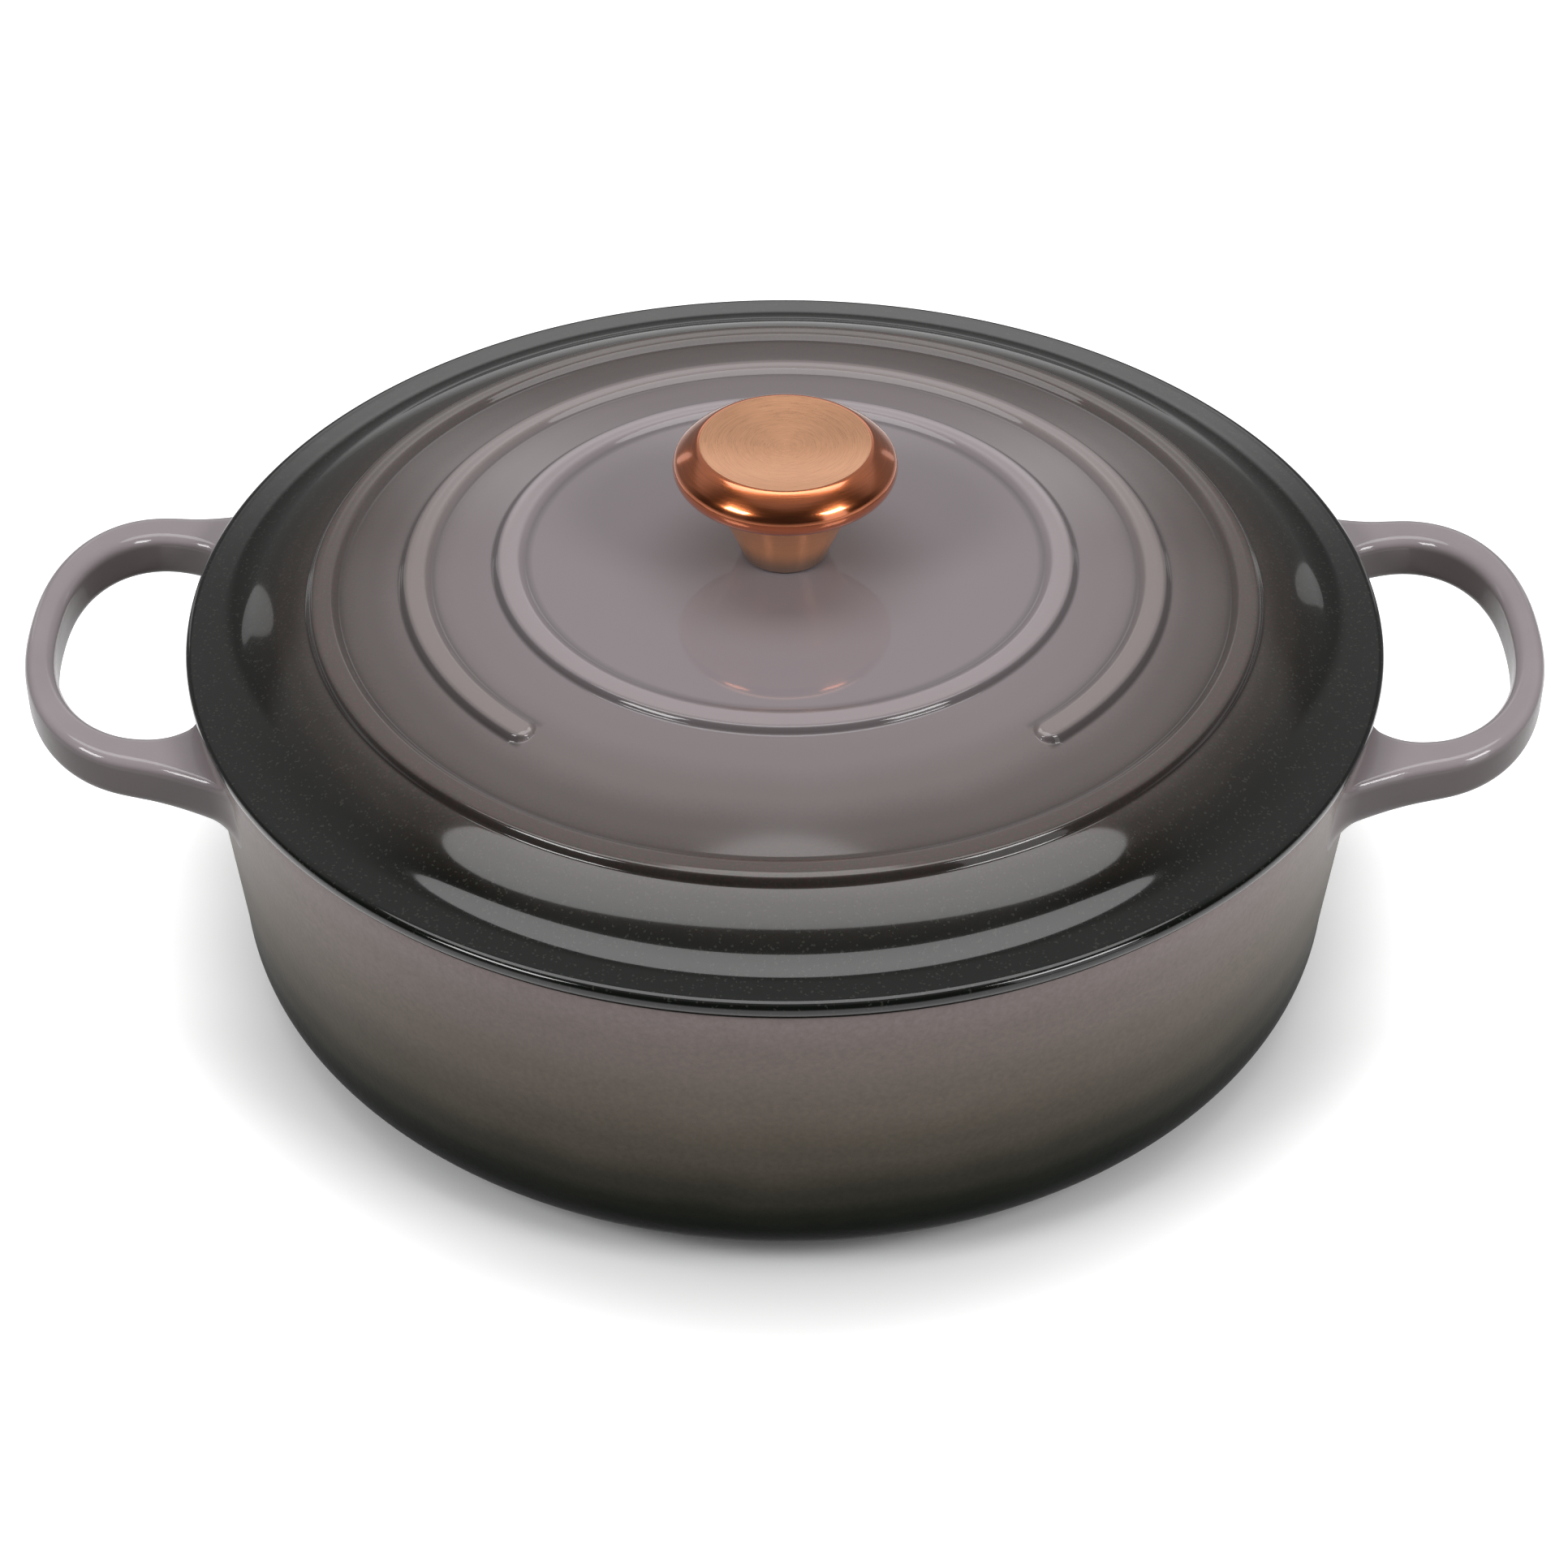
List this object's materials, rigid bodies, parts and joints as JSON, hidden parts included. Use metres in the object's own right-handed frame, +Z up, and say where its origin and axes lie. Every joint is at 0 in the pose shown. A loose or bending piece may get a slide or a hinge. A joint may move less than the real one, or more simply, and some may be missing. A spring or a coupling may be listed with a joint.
{
  "type": "dutch oven",
  "caption": "Wide round enamelled cooking pot with loop handles and a low domed, ringed lid that lifts off by a turned metal knob.",
  "frame": {"origin": "centre of the pot's flat base, at the height of the surface it stands on", "axes": "+Z up along the pot's axis, +X from the middle through one loop handle, +Y from the open side of the lid's middle ring towards the back"},
  "size_m": [0.397, 0.312, 0.152],
  "materials": {
    "pot_enamel": "glossy vitreous enamel, warm grey fading to near black at the base",
    "lid_enamel": "glossy vitreous enamel, warm grey in the middle fading to near black at the rim",
    "copper_plate": "steel with a finely brushed copper surface, turned marks round the axis",
    "screw_steel": "plain stainless steel"
  },
  "bodies": {
    "pot": {"pot_body": "pot_enamel"},
    "lid_with_knob": {"lid": "lid_enamel", "knob_stem": "copper_plate", "knob_head": "copper_plate", "knob_screw": "screw_steel", "spring_washer": "screw_steel", "flat_washer": "screw_steel"}
  },
  "joints": [
    {"name": "lid_lift", "type": "slide", "parent": "pot", "child": "lid_with_knob", "axis": [0, 0, 1], "range_m": [0, 0.15]}
  ]
}
